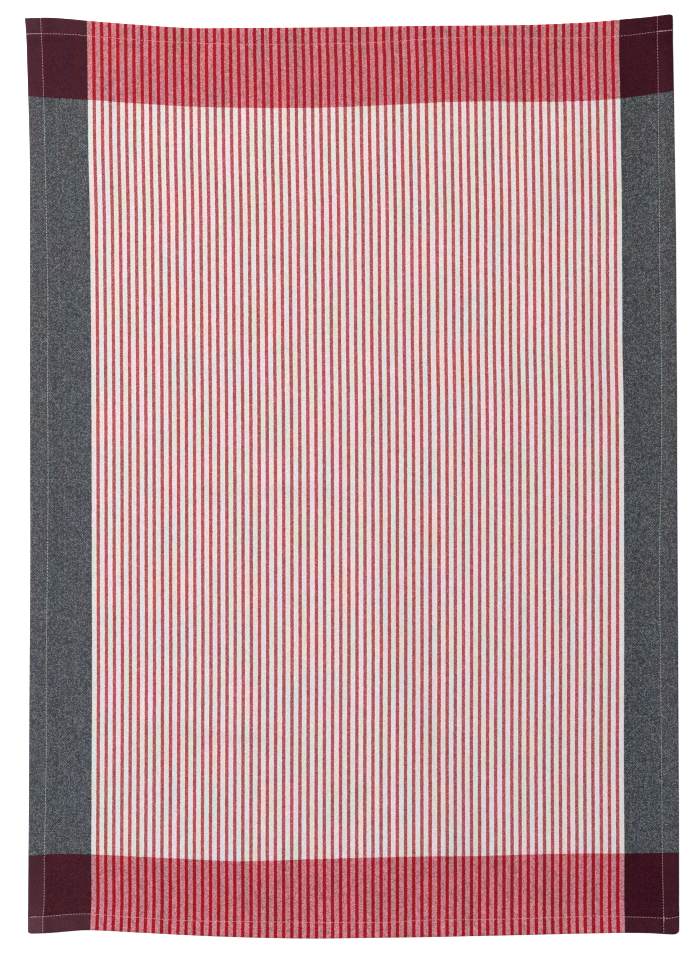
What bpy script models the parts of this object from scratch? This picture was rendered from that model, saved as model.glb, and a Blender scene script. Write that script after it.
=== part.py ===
"""Tea towel: one woven cloth, hemmed on all four sides, lying flat with its face up.

+X runs across the towel to the right, +Y up its length and +Z out of its face.
The origin is the bottom centre of the box around it, and everything is in metres.
"""

from bisect import bisect_right
from math import exp, hypot, inf, sqrt

import bmesh
import bpy

# Driving dimensions.
CLOTH = 0.0010          # height of a single layer, as it lies
HEM_RISE = 0.0010       # how much higher a turned hem stands than a single layer
THICKEST = 0.0040       # the height that a full vertex weight stands for
EDGE_ROUNDING = 0.0003  # rounding of the folded outer edge

# Lines that run down the towel, at each height y: the x of the outer edges, and the
# width of the side hems from there to their stitching.
#    y,     left edge, left hem, right edge, right hem
DOWN = (
    (-0.3518, -0.2482, 0.0115, 0.2501, 0.0120),
    (-0.3381, -0.2483, 0.0117, 0.2501, 0.0120),
    (-0.2906, -0.2481, 0.0124, 0.2502, 0.0128),
    (-0.2171, -0.2476, 0.0133, 0.2499, 0.0132),
    (-0.1405, -0.2472, 0.0130, 0.2495, 0.0136),
    (-0.0639, -0.2467, 0.0134, 0.2491, 0.0140),
    (-0.0027, -0.2468, 0.0140, 0.2488, 0.0124),
    (0.0586, -0.2469, 0.0137, 0.2486, 0.0117),
    (0.1351, -0.2469, 0.0139, 0.2482, 0.0123),
    (0.2041, -0.2470, 0.0128, 0.2476, 0.0125),
    (0.2500, -0.2472, 0.0120, 0.2469, 0.0124),
    (0.2898, -0.2482, 0.0120, 0.2463, 0.0122),
    (0.3189, -0.2491, 0.0120, 0.2458, 0.0119),
    (0.3388, -0.2497, 0.0118, 0.2454, 0.0121),
    (0.3526, -0.2507, 0.0123, 0.2452, 0.0120),
)

# Lines that run across the towel, at each distance x: the y of the outer edges, and
# the width of the end hems from there to their stitching.
#    x,     bottom edge, bottom hem, top edge, top hem
ACROSS = (
    (-0.2491, -0.3499, 0.0126, 0.3508, 0.0126),
    (-0.2315, -0.3494, 0.0130, 0.3512, 0.0124),
    (-0.2024, -0.3473, 0.0124, 0.3489, 0.0115),
    (-0.1626, -0.3492, 0.0114, 0.3459, 0.0117),
    (-0.1243, -0.3512, 0.0111, 0.3434, 0.0114),
    (-0.0860, -0.3527, 0.0120, 0.3435, 0.0126),
    (-0.0324, -0.3537, 0.0125, 0.3438, 0.0128),
    (0.0212, -0.3531, 0.0117, 0.3445, 0.0122),
    (0.0595, -0.3526, 0.0130, 0.3451, 0.0102),
    (0.0940, -0.3518, 0.0126, 0.3452, 0.0089),
    (0.1361, -0.3509, 0.0128, 0.3458, 0.0102),
    (0.1743, -0.3499, 0.0131, 0.3474, 0.0114),
    (0.2050, -0.3494, 0.0125, 0.3498, 0.0126),
    (0.2279, -0.3496, 0.0121, 0.3519, 0.0122),
    (0.2440, -0.3504, 0.0127, 0.3539, 0.0128),
    (0.2486, -0.3504, 0.0140, 0.3539, 0.0128),
)

# How the four corners are turned.
#    side of x, side of y, radius
CORNERS = (
    (-1, 1, 0.0008),
    (1, 1, 0.0026),
    (-1, -1, 0.0024),
    (1, -1, 0.0042),
)

# The hem in section, from its folded outer edge in to the single cloth.
#    share of the hem's width, share of the hem's rise
HEM_SECTION = (
    (0.00, 0.62),
    (0.12, 1.00),
    (0.50, 0.86),
    (0.84, 0.78),
    (1.00, 0.60),
    (1.16, 0.62),
    (1.40, 0.26),
    (1.66, 0.00),
)

# Steps of the mesh between the hems, in runs, closer together where the folds are.
#    share of the way that the run reaches, steps in the run
FIELD_COLUMNS = ((0.15, 5), (0.50, 8), (0.74, 9), (1.00, 9))
FIELD_ROWS = ((0.184, 7), (0.229, 6), (0.462, 8), (0.508, 6), (1.000, 15))
SETTLING_ROUNDS = 3     # rounds that place a point on lines that bend both ways

# Soft folds in the lying cloth, each along a line through its places. A ridge stands on
# its line. A swell lies to the left of it, as one walks along, and falls off at the line.
#    kind, half width, and the places: x, y, height
FOLDS = (
    # where the towel was folded in half
    ("ridge", 0.0090, ((-0.1450, -0.0036, 0.0), (-0.1150, -0.0043, 0.0003),
                       (-0.0450, -0.0057, 0.0003), (-0.0150, -0.0064, 0.0))),
    ("swell", 0.0040, ((-0.1700, -0.0074, 0.0), (-0.0900, -0.0080, 0.0004),
                       (-0.0300, -0.0118, 0.0008), (0.0150, -0.0100, 0.0))),
    # a dent at the lower left
    ("swell", 0.0050, ((-0.1700, -0.1880, 0.0), (-0.1500, -0.1905, 0.0008),
                       (-0.1080, -0.1970, 0.0015), (-0.0820, -0.2014, 0.0016),
                       (-0.0430, -0.1870, 0.0))),
    # a long valley at the lower right
    ("swell", 0.0165, ((0.0870, -0.3020, 0.0), (0.0845, -0.2840, 0.0014),
                       (0.0790, -0.2492, 0.0025), (0.0620, -0.2109, 0.0026),
                       (0.0435, -0.1497, 0.0022), (0.0290, -0.0731, 0.0018),
                       (0.0215, -0.0200, 0.0))),
    # slacker cloth beside the right border, and beside both borders at the top
    ("swell", 0.0150, ((0.1900, 0.0300, 0.0), (0.1880, 0.0550, 0.0011),
                       (0.1820, 0.0950, 0.0020), (0.1790, 0.1300, 0.0016),
                       (0.1770, 0.1800, 0.0))),
    ("swell", 0.0120, ((0.1860, 0.2200, 0.0), (0.1840, 0.2400, 0.0009),
                       (0.1810, 0.2650, 0.0010), (0.1790, 0.2850, 0.0))),
    ("swell", 0.0110, ((-0.1840, 0.1950, 0.0), (-0.1850, 0.2200, 0.0011),
                       (-0.1850, 0.2900, 0.0019), (-0.1850, 0.3200, 0.0))),
)
SWELL_REACH = 3.0       # how far a swell goes back from its line, in half widths

WOVEN_COTTON = (0.42, 0.20, 0.21, 1.0)
WOVEN_ROUGHNESS = 0.9


def read_line(table, column, at):
    """Value of a table's column at a place, on a smooth curve through its rows."""
    places = [row[0] for row in table]
    last = len(table) - 1
    left = min(max(bisect_right(places, at) - 1, 0), last - 1)
    span = places[left + 1] - places[left]
    share = min(max((at - places[left]) / span, 0.0), 1.0)

    def slope(index):
        below = max(index - 1, 0)
        above = min(index + 1, last)
        return (table[above][column] - table[below][column]) / (places[above] - places[below])

    rise = share * share * (3 - 2 * share)
    start_bend = share * (1 - share) ** 2
    end_bend = -share * share * (1 - share)
    return ((1 - rise) * table[left][column] + rise * table[left + 1][column]
            + span * (start_bend * slope(left) + end_bend * slope(left + 1)))


def mesh_lines(runs):
    """Lines of the mesh in one direction, as (share of the hems, share of what is between)."""
    inner = HEM_SECTION[-1][0]
    low_hem = [(share, 0.0) for share, _ in HEM_SECTION]
    field = []
    start = 0.0
    for end, steps in runs:
        field += [(inner, start + (end - start) * step / steps) for step in range(1, steps + 1)]
        start = end
    field.pop()
    high_hem = [(share, 1.0) for share, _ in reversed(HEM_SECTION)]
    return low_hem + field + high_hem


def line_place(line, low_edge, low_hem, high_edge, high_hem):
    """Where a line of the mesh lies between the two outer edges."""
    hem_share, share = line
    start = low_edge + hem_share * low_hem
    end = high_edge - hem_share * high_hem
    return start + share * (end - start)


def hem_height(line):
    """Height that the hem adds on a line of the mesh."""
    return HEM_RISE * dict(HEM_SECTION)[line[0]]


def turned_corner(x, y, corner_x, corner_y, side_x, side_y, radius):
    """Move a point of a square corner onto the same corner with a round turn."""
    from_x = (x - corner_x) * side_x + radius
    from_y = (y - corner_y) * side_y + radius
    if from_x <= 0 or from_y <= 0:
        return x, y
    squeeze = max(from_x, from_y) / hypot(from_x, from_y)
    return (corner_x + side_x * (from_x * squeeze - radius),
            corner_y + side_y * (from_y * squeeze - radius))


def from_line(x, y, places):
    """Distance to the right of a line through places, and the height given along it."""
    nearest, right, height = inf, 0.0, 0.0
    for (from_x, from_y, from_height), (to_x, to_y, to_height) in zip(places, places[1:]):
        run_x, run_y = to_x - from_x, to_y - from_y
        share = ((x - from_x) * run_x + (y - from_y) * run_y) / (run_x ** 2 + run_y ** 2)
        share = min(max(share, 0.0), 1.0)
        off_x, off_y = x - from_x - share * run_x, y - from_y - share * run_y
        away = hypot(off_x, off_y)
        if away < nearest:
            nearest = away
            right = away if off_x * run_y > off_y * run_x else -away
            height = from_height + share * (to_height - from_height)
    return right, height


def fold_height(x, y):
    """Height that the soft folds add at a point of the cloth."""
    total = 0.0
    for kind, half_width, places in FOLDS:
        right, height = from_line(x, y, places)
        right = right / half_width
        if kind == "ridge":
            total += height * exp(-right ** 2)
        else:
            falls = 0.5 * (1 - right / sqrt(1 + right ** 2))
            total += height * falls * exp(-(right / SWELL_REACH) ** 2)
    return total


def face_points(columns, rows):
    """Plan position and height of each point of the towel's face, row by row."""
    points = []
    for row in rows:
        for column in columns:
            sides = DOWN[0][1:]
            ends = ACROSS[0][1:]
            for _ in range(SETTLING_ROUNDS):
                x = line_place(column, *sides)
                y = line_place(row, *ends)
                sides = [read_line(DOWN, field, y) for field in (1, 2, 3, 4)]
                ends = [read_line(ACROSS, field, x) for field in (1, 2, 3, 4)]
            for side_x, side_y, radius in CORNERS:
                corner_x = sides[0] if side_x < 0 else sides[2]
                corner_y = ends[0] if side_y < 0 else ends[2]
                x, y = turned_corner(x, y, corner_x, corner_y, side_x, side_y, radius)
            height = CLOTH + hem_height(column) + hem_height(row) + fold_height(x, y)
            points.append((x, y, height))
    return points


def material(name, colour, roughness):
    """A plain principled material."""
    made = bpy.data.materials.new(name)
    made.use_nodes = True
    shader = made.node_tree.nodes["Principled BSDF"]
    shader.inputs["Base Color"].default_value = colour
    shader.inputs["Roughness"].default_value = roughness
    shader.inputs["Metallic"].default_value = 0.0
    made.diffuse_color = colour
    return made


def towel(collection):
    """The cloth: a sheet of the towel's outline, as thick at each point as it lies high."""
    columns = mesh_lines(FIELD_COLUMNS)
    rows = mesh_lines(FIELD_ROWS)
    points = face_points(columns, rows)

    sheet = bmesh.new()
    bmesh.ops.create_grid(sheet, x_segments=len(columns) - 1, y_segments=len(rows) - 1)
    for vertex, (x, y, _) in zip(sheet.verts, points):
        vertex.co = (x, y, 0.0)
    mesh = bpy.data.meshes.new("towel")
    sheet.to_mesh(mesh)
    sheet.free()
    mesh.materials.append(material("woven_cloth", WOVEN_COTTON, WOVEN_ROUGHNESS))

    cloth = bpy.data.objects.new("towel", mesh)
    collection.objects.link(cloth)
    weights = cloth.vertex_groups.new(name="height")
    for index, (_, _, height) in enumerate(points):
        weights.add([index], height / THICKEST, "REPLACE")

    solid = cloth.modifiers.new("thickness", "SOLIDIFY")
    solid.thickness = THICKEST
    solid.offset = 1.0
    solid.vertex_group = weights.name
    rounding = cloth.modifiers.new("outer edge", "BEVEL")
    rounding.width = EDGE_ROUNDING
    rounding.segments = 1
    rounding.limit_method = "ANGLE"
    rounding.angle_limit = 0.9


def main():
    for old in list(bpy.data.objects):
        bpy.data.objects.remove(old)
    collection = bpy.data.collections.new("Tea towel")
    bpy.context.scene.collection.children.link(collection)
    towel(collection)


main()
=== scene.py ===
"""Looks of the tea towel: the folded and hemmed cloth, its weave and its sewing.

Everything is in metres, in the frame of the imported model: +X across the towel to the
right, +Y up its length, +Z out of its face, with the surface it lies on at z = 0.
"""

from math import cos, pi, sin

import bpy
import numpy as np
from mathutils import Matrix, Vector
from mathutils.bvhtree import BVHTree


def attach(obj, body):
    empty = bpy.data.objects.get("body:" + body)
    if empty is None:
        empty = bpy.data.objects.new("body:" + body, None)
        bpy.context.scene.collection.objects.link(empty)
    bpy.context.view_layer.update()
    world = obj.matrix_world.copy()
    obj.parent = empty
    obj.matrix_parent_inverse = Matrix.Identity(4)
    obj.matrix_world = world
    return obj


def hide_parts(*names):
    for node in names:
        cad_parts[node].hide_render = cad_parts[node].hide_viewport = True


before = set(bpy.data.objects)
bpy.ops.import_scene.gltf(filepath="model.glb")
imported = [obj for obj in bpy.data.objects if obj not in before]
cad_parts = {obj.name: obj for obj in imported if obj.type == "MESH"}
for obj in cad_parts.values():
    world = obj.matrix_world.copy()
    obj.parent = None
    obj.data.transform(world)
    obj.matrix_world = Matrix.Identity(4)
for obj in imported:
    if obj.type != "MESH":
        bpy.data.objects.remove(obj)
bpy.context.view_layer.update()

# The weave, counted in ends (warp yarns, up the towel) and picks (weft, across it).
END = 0.000621
PICK = 0.000620
LEFT_BORDER_ENDS = 75
RIGHT_BORDER_ENDS = 66
WHITE_ENDS = 6
RED_ENDS = 4
REPEATS = 65
BAND_PICKS = 97
CENTRE_PICKS = 928
REPEAT_ENDS = WHITE_ENDS + RED_ENDS
FIELD_ENDS = REPEATS * REPEAT_ENDS + WHITE_ENDS

# The cloth and how its hems are turned.
LAYER = 0.00045          # thickness of one layer
LAYER_GAP = 0.00003
HEM_SQUEEZE = 0.12       # how much thinner a layer is where it lies in a hem
CORNER_SQUEEZE = 0.14    # and further where two hems cross
INNER_FOLD = 0.0010      # how far a hem's inner fold lies beyond its stitching
USUAL_HEM = 0.0123       # width of a hem, where no table gives it
STEP_DOWN = 0.0072       # width over which the face comes down from a hem
EDGE_FLATTENING = 0.30   # how much lower a hem's layers are pressed at its outer fold
EDGE_REACH = 0.0010      # and how far in from there
UNDER_CURL = 0.4         # how much of a hem's curl its underside has
RAW_EDGE = 0.0022        # how far in from the outer fold the cut edge is tucked
LIFT = 0.00050           # how far the cloth stands off the surface between its troughs
LOWEST = 0.00002         # and the least it may, anywhere
PINCH = 0.20             # how much the stitching presses a hem's layers together
PINCH_REACH = 0.0009     # and how far from its line

# How far the outer edge of each hem curls up, from its stitching.
#    left, right, bottom, top
HEM_CURL = (0.0006, 0.0014, 0.0017, 0.0017)

# Lines down the towel, at each height y: x of the outer edges and of the seams between
# border and stripes, and the widths of the side hems to their stitching.
#    y,    left edge, left hem, left seam, right seam, right hem, right edge
DOWN = (
    (-0.3518, -0.2482, 0.0115, -0.2005, 0.2086, 0.0120, 0.2501),
    (-0.3381, -0.2483, 0.0117, -0.2001, 0.2084, 0.0120, 0.2501),
    (-0.3243, -0.2483, 0.0124, -0.1996, 0.2082, 0.0122, 0.2502),
    (-0.2906, -0.2481, 0.0124, -0.1998, 0.2083, 0.0128, 0.2502),
    (-0.2171, -0.2476, 0.0133, -0.1994, 0.2079, 0.0132, 0.2499),
    (-0.1405, -0.2472, 0.0130, -0.1992, 0.2081, 0.0136, 0.2495),
    (-0.0639, -0.2467, 0.0134, -0.1994, 0.2081, 0.0140, 0.2491),
    (-0.0027, -0.2468, 0.0140, -0.1995, 0.2080, 0.0124, 0.2488),
    (0.0586, -0.2469, 0.0137, -0.1997, 0.2076, 0.0117, 0.2486),
    (0.0969, -0.2469, 0.0138, -0.1999, 0.2068, 0.0119, 0.2484),
    (0.1351, -0.2469, 0.0139, -0.2002, 0.2067, 0.0123, 0.2482),
    (0.1658, -0.2469, 0.0134, -0.2005, 0.2065, 0.0128, 0.2480),
    (0.2041, -0.2470, 0.0128, -0.2009, 0.2064, 0.0125, 0.2476),
    (0.2500, -0.2472, 0.0120, -0.2019, 0.2057, 0.0124, 0.2469),
    (0.2898, -0.2482, 0.0120, -0.2023, 0.2051, 0.0122, 0.2463),
    (0.3189, -0.2491, 0.0120, -0.2027, 0.2044, 0.0119, 0.2458),
    (0.3388, -0.2497, 0.0118, -0.2030, 0.2042, 0.0121, 0.2454),
    (0.3526, -0.2507, 0.0123, -0.2030, 0.2042, 0.0120, 0.2452),
)

# Lines across the towel, at each distance x: y of the outer edges and of the seams
# between bands and centre, and the widths of the end hems to their stitching.
#    x, bottom edge, bottom hem, bottom seam, top seam, top hem, top edge
ACROSS = (
    (-0.2491, -0.3499, 0.0126, -0.2904, 0.2911, 0.0126, 0.3508),
    (-0.2315, -0.3494, 0.0130, -0.2891, 0.2900, 0.0124, 0.3512),
    (-0.2170, -0.3482, 0.0130, -0.2890, 0.2891, 0.0119, 0.3503),
    (-0.2024, -0.3473, 0.0124, -0.2893, 0.2881, 0.0116, 0.3489),
    (-0.1626, -0.3492, 0.0114, -0.2911, 0.2855, 0.0118, 0.3458),
    (-0.1243, -0.3512, 0.0111, -0.2930, 0.2832, 0.0114, 0.3434),
    (-0.0860, -0.3527, 0.0120, -0.2946, 0.2824, 0.0126, 0.3435),
    (-0.0324, -0.3537, 0.0125, -0.2931, 0.2823, 0.0128, 0.3438),
    (0.0212, -0.3531, 0.0117, -0.2915, 0.2841, 0.0122, 0.3445),
    (0.0595, -0.3526, 0.0131, -0.2907, 0.2862, 0.0102, 0.3451),
    (0.0940, -0.3518, 0.0125, -0.2906, 0.2872, 0.0089, 0.3453),
    (0.1361, -0.3509, 0.0127, -0.2894, 0.2869, 0.0103, 0.3458),
    (0.1743, -0.3499, 0.0131, -0.2886, 0.2873, 0.0116, 0.3474),
    (0.1866, -0.3497, 0.0134, -0.2886, 0.2880, 0.0119, 0.3482),
    (0.2050, -0.3494, 0.0125, -0.2886, 0.2893, 0.0128, 0.3498),
    (0.2279, -0.3496, 0.0121, -0.2883, 0.2925, 0.0122, 0.3519),
    (0.2440, -0.3504, 0.0127, -0.2878, 0.2949, 0.0127, 0.3538),
    (0.2486, -0.3504, 0.0140, -0.2878, 0.2949, 0.0126, 0.3537),
)

# How far the stripes stand to the right of an even spacing, by the number of the red
# stripe: all down the towel, and more in the top and the bottom hem.
#    stripe, shift,  in top hem, in bottom hem
STRIPE_DRIFT = (
    (-1, 0.0, 0.0, 0.0),
    (0, -0.0001, 0.0001, 0.0001),
    (3, -0.0004, 0.0003, 0.0002),
    (7, -0.0007, 0.0003, 0.0002),
    (10, -0.0006, 0.0004, 0.0003),
    (14, -0.0009, 0.0004, 0.0003),
    (18, -0.0010, 0.0, 0.0004),
    (28, -0.0008, -0.0004, 0.0005),
    (36, -0.0009, -0.0006, 0.0002),
    (41, -0.0007, -0.0005, 0.0),
    (42, 0.0, -0.0005, -0.0001),
    (51, -0.0001, -0.0002, -0.0002),
    (58, -0.0002, -0.0001, -0.0001),
    (64, 0.0, -0.0001, -0.0002),
)
HEM_SWAY = 0.018         # how far the shift of a hem's stripes reaches into the cloth
SETTLING_ROUNDS = 3      # rounds that place a point on lines that bend both ways

# How the four corners are turned.
#    side of x, side of y, radius
CORNERS = (
    (-1, 1, 0.0008),
    (1, 1, 0.0026),
    (-1, -1, 0.0024),
    (1, -1, 0.0042),
)

# Soft folds, dents and swells, each along a line through its places. A ridge stands on
# its line. A swell lies to the left of it, as one walks along, and falls off steeply at
# the line, away from the light.
#    kind, half width, and the places: x, y, height
FOLDS = (
    # where the towel was folded in half
    ("ridge", 0.0090, ((-0.1450, -0.0036, 0.0), (-0.1150, -0.0043, 0.0003),
                       (-0.0450, -0.0057, 0.0003), (-0.0150, -0.0064, 0.0))),
    ("ridge", 0.0040, ((-0.2000, -0.0090, 0.0), (-0.1800, -0.0089, 0.0001),
                       (0.1800, -0.0071, 0.0001), (0.2000, -0.0070, 0.0))),
    ("swell", 0.0040, ((-0.1700, -0.0074, 0.0), (-0.0900, -0.0080, 0.0004),
                       (-0.0600, -0.0095, 0.0008), (-0.0300, -0.0118, 0.0008),
                       (-0.0150, -0.0120, 0.0003), (0.0150, -0.0100, 0.0))),
    # a dent at the lower left
    ("swell", 0.0050, ((-0.1700, -0.1880, 0.0), (-0.1500, -0.1905, 0.0010),
                       (-0.1080, -0.1970, 0.0019), (-0.0820, -0.2014, 0.0020),
                       (-0.0690, -0.2022, 0.0006), (-0.0430, -0.1870, 0.0))),
    # a long valley at the lower right
    ("swell", 0.0165, ((0.0870, -0.3020, 0.0), (0.0845, -0.2840, 0.0018),
                       (0.0790, -0.2492, 0.0031), (0.0620, -0.2109, 0.0033),
                       (0.0435, -0.1497, 0.0028), (0.0290, -0.0731, 0.0022),
                       (0.0235, -0.0450, 0.0014), (0.0215, -0.0200, 0.0))),
    # slacker cloth beside the right border, and at the top corners
    ("swell", 0.0150, ((0.1900, 0.0300, 0.0), (0.1880, 0.0550, 0.0014), (0.1820, 0.0950, 0.0025),
                       (0.1790, 0.1300, 0.0020), (0.1770, 0.1800, 0.0))),
    ("swell", 0.0120, ((0.1860, 0.2200, 0.0), (0.1840, 0.2400, 0.0011),
                       (0.1810, 0.2650, 0.0012), (0.1790, 0.2850, 0.0))),
    ("swell", 0.0050, ((-0.0165, 0.2640, 0.0), (-0.0170, 0.2720, 0.0007), (-0.0175, 0.2810, 0.0))),
    ("swell", 0.0110, ((-0.1840, 0.1950, 0.0), (-0.1850, 0.2200, 0.0014),
                       (-0.1850, 0.2550, 0.0024), (-0.1850, 0.2900, 0.0024),
                       (-0.1850, 0.3200, 0.0))),
    ("swell", 0.0060, ((-0.1930, -0.2480, 0.0), (-0.1930, -0.2300, 0.0006),
                       (-0.1930, -0.1900, 0.0004), (-0.1930, -0.1700, 0.0))),
    # small tucks
    ("swell", 0.0035, ((-0.0640, 0.1002, 0.0), (-0.0580, 0.0995, 0.0007),
                       (-0.0520, 0.0988, 0.0007), (-0.0460, 0.0982, 0.0))),
    ("swell", 0.0035, ((0.0080, 0.0582, 0.0), (0.0140, 0.0575, 0.0006),
                       (0.0190, 0.0569, 0.0006), (0.0250, 0.0562, 0.0))),
    ("swell", 0.0035, ((-0.1270, -0.1327, 0.0), (-0.1210, -0.1338, 0.0006), (-0.1140, -0.1350, 0.0))),
    ("swell", 0.0035, ((-0.1050, -0.1557, 0.0), (-0.0970, -0.1568, 0.0006), (-0.0890, -0.1582, 0.0))),
)
SWELL_REACH = 3.0        # how far a swell goes back from its line, in half widths

# The cloth's own unevenness, and the puckers along its stitching.
#    height, wavelength, number of waves, seed
SMALL_WAVES = (0.000015, 0.020, 40, 3)
LONG_WAVES = (0.00006, 0.080, 30, 5)
PUCKERS = (0.00006, 0.014, 30, 7)
PUCKER_REACH = 0.010     # how far from the stitching they reach

# Painted sheen: how much paler a raised hem is made, and how much more at a corner.
#    side of x, side of y, more painted sheen
PAINTED_SHEEN_AT_CORNERS = (
    (-1, 1, 0.003),
    (1, 1, -0.013),
    (-1, -1, 0.022),
    (1, -1, -0.003),
)
PAINTED_SHEEN_ON_HEMS = 0.013
PAINTED_SHEEN_REACH = 0.05        # how far round a corner it differs
PAINTED_SHEEN_CORNER = (0.246, 0.348)   # about how far from the middle the corners are

GRID_COLUMNS = 130       # steps of the cloth's mesh between the side hems
GRID_ROWS = 180          # and between the end hems


# ---------------------------------------------------------------- plan of the cloth

def eased(share):
    """A share from 0 to 1 that starts and ends gently."""
    return share * share * (3 - 2 * share)


def read_line(table, column, at):
    """Values of a table's column at places, on a smooth curve through its rows."""
    rows = np.array(table)
    places, values = rows[:, 0], rows[:, column]
    slopes = np.empty(len(rows))
    slopes[1:-1] = (values[2:] - values[:-2]) / (places[2:] - places[:-2])
    slopes[0] = (values[1] - values[0]) / (places[1] - places[0])
    slopes[-1] = (values[-1] - values[-2]) / (places[-1] - places[-2])
    at = np.clip(at, places[0], places[-1])
    left = np.clip(np.searchsorted(places, at, side="right") - 1, 0, len(rows) - 2)
    span = places[left + 1] - places[left]
    share = (at - places[left]) / span
    rise = eased(share)
    start_bend = share * (1 - share) ** 2
    end_bend = -share * share * (1 - share)
    return ((1 - rise) * values[left] + rise * values[left + 1]
            + span * (start_bend * slopes[left] + end_bend * slopes[left + 1]))


def smooth_step(value, start, end):
    """0 before the start and 1 after the end, with a gentle rise between them."""
    return eased(np.clip((value - start) / (end - start), 0, 1))


SEAMS_ACROSS = np.cumsum([0, LEFT_BORDER_ENDS, FIELD_ENDS, RIGHT_BORDER_ENDS]) * END
SEAMS_ALONG = np.cumsum([0, BAND_PICKS, CENTRE_PICKS, BAND_PICKS]) * PICK
WIDTH = SEAMS_ACROSS[-1]
LENGTH = SEAMS_ALONG[-1]


def between(value, knots, levels):
    """Value carried from the knots' scale to the levels', in straight runs."""
    run = np.clip(np.searchsorted(knots, value, side="right") - 1, 0, len(knots) - 2)
    share = (value - knots[run]) / (knots[run + 1] - knots[run])
    stack = np.stack(levels)
    low = np.take_along_axis(stack, run[None], 0)[0]
    high = np.take_along_axis(stack, run[None] + 1, 0)[0]
    return low + share * (high - low)


def plan(across, along):
    """Where a point of the flat cloth lies on the surface, from its outer edges."""
    x = across - WIDTH / 2
    y = along - LENGTH / 2
    red_stripe = ((across - SEAMS_ACROSS[1]) / END - WHITE_ENDS - RED_ENDS / 2) / REPEAT_ENDS
    stripes, shifts, top_shifts, bottom_shifts = np.array(STRIPE_DRIFT).T
    from_stitching = np.minimum(along, LENGTH - along) - USUAL_HEM
    near_hem = smooth_step(from_stitching, HEM_SWAY, -USUAL_HEM / 2)
    at_top = near_hem * (along > LENGTH / 2)
    at_bottom = near_hem * (along < LENGTH / 2)
    drift = (np.interp(red_stripe, stripes, shifts, right=0.0)
             + at_top * np.interp(red_stripe, stripes, top_shifts, right=0.0)
             + at_bottom * np.interp(red_stripe, stripes, bottom_shifts, right=0.0))
    for _ in range(SETTLING_ROUNDS):
        down = [read_line(DOWN, column, y) for column in (1, 3, 4, 6)]
        over = [read_line(ACROSS, column, x) for column in (1, 3, 4, 6)]
        x = between(across, SEAMS_ACROSS, down) + drift
        y = between(along, SEAMS_ALONG, over)
    return x, y


def turned_corners(x, y):
    """Points of the cloth's square corners moved onto round turns."""
    for side_x, side_y, radius in CORNERS:
        corner_x = read_line(DOWN, 1 if side_x < 0 else 6, y)
        corner_y = read_line(ACROSS, 1 if side_y < 0 else 6, x)
        from_x = (x - corner_x) * side_x + radius
        from_y = (y - corner_y) * side_y + radius
        inside = (from_x > 0) & (from_y > 0)
        longer = np.maximum(from_x, from_y)
        squeeze = np.where(inside, longer / np.maximum(np.hypot(from_x, from_y), 1e-9), 1)
        x = np.where(inside, corner_x + side_x * (from_x * squeeze - radius), x)
        y = np.where(inside, corner_y + side_y * (from_y * squeeze - radius), y)
    return x, y


# ---------------------------------------------------------------- relief of the cloth

def waves(x, y, height, wavelength, count, seed):
    """A smooth uneven field about this high, of plane waves in all directions."""
    rng = np.random.default_rng(seed)
    total = np.zeros_like(x)
    for _ in range(count):
        turn, phase = rng.uniform(0, 2 * pi, 2)
        number = 2 * pi / (wavelength * rng.uniform(0.7, 1.5))
        total += np.sin(number * (x * cos(turn) + y * sin(turn)) + phase)
    return height * (total * (2 / count) ** 0.5)


def from_line(x, y, places):
    """Distance to the right of a line through places, and the height given along it."""
    nearest = np.full_like(x, np.inf)
    right = np.zeros_like(x)
    height = np.zeros_like(x)
    for (from_x, from_y, from_height), (to_x, to_y, to_height) in zip(places, places[1:]):
        run_x, run_y = to_x - from_x, to_y - from_y
        share = ((x - from_x) * run_x + (y - from_y) * run_y) / (run_x ** 2 + run_y ** 2)
        share = np.clip(share, 0, 1)
        off_x, off_y = x - from_x - share * run_x, y - from_y - share * run_y
        away = np.hypot(off_x, off_y)
        side = np.sign(off_x * run_y - off_y * run_x)
        closer = away < nearest
        nearest = np.where(closer, away, nearest)
        right = np.where(closer, side * away, right)
        height = np.where(closer, from_height + share * (to_height - from_height), height)
    return right, height


def fold_height(x, y):
    """Height that the soft folds, dents and swells add."""
    total = np.zeros_like(x)
    for kind, half_width, places in FOLDS:
        right, height = from_line(x, y, places)
        right = right / half_width
        if kind == "ridge":
            total += height * np.exp(-right ** 2)
        else:
            falls = 0.5 * (1 - right / np.sqrt(1 + right ** 2))
            total += height * falls * np.exp(-(right / SWELL_REACH) ** 2)
    return total


def stitch_lines(x, y):
    """Distances to the four lines of stitching."""
    return (
        np.abs(x - read_line(DOWN, 1, y) - read_line(DOWN, 2, y)),
        np.abs(x - read_line(DOWN, 6, y) + read_line(DOWN, 5, y)),
        np.abs(y - read_line(ACROSS, 1, x) - read_line(ACROSS, 2, x)),
        np.abs(y - read_line(ACROSS, 6, x) + read_line(ACROSS, 5, x)),
    )


def lift(x, y):
    """How far the whole cloth stands off the surface."""
    uneven = waves(x, y, *SMALL_WAVES) + waves(x, y, *LONG_WAVES)
    near_stitching = sum(np.exp(-(away / PUCKER_REACH) ** 2) for away in stitch_lines(x, y))
    puckers = near_stitching * waves(x, y, *PUCKERS)
    return np.maximum(LIFT + fold_height(x, y) + uneven + puckers, LOWEST)


# ---------------------------------------------------------------- folding the hems

# Lines of the mesh through a hem, from the cut edge tucked inside it, round its inner
# and outer folds, and over its face down to the single cloth.
HEM_PARTS = (
    ("tuck", (0.0, 0.5)),
    ("inner fold", (0.0, 0.25, 0.5, 0.75, 1.0)),
    ("under", (0.12, 0.35, 0.65, 0.9)),
    ("outer fold", np.linspace(0, 1, 8)),
    ("face", (0.06, 0.15, 0.35, 0.58, 0.75, 0.83, 0.87, 0.91, 0.96, 1.0)),
    ("step", (0.3, 0.6, 1.0)),
)
HEM_LINES = [(part, share) for part, shares in HEM_PARTS for share in shares]
FACE_TO_STITCHING = 0.93  # share of a hem's face that ends at its stitching


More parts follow.
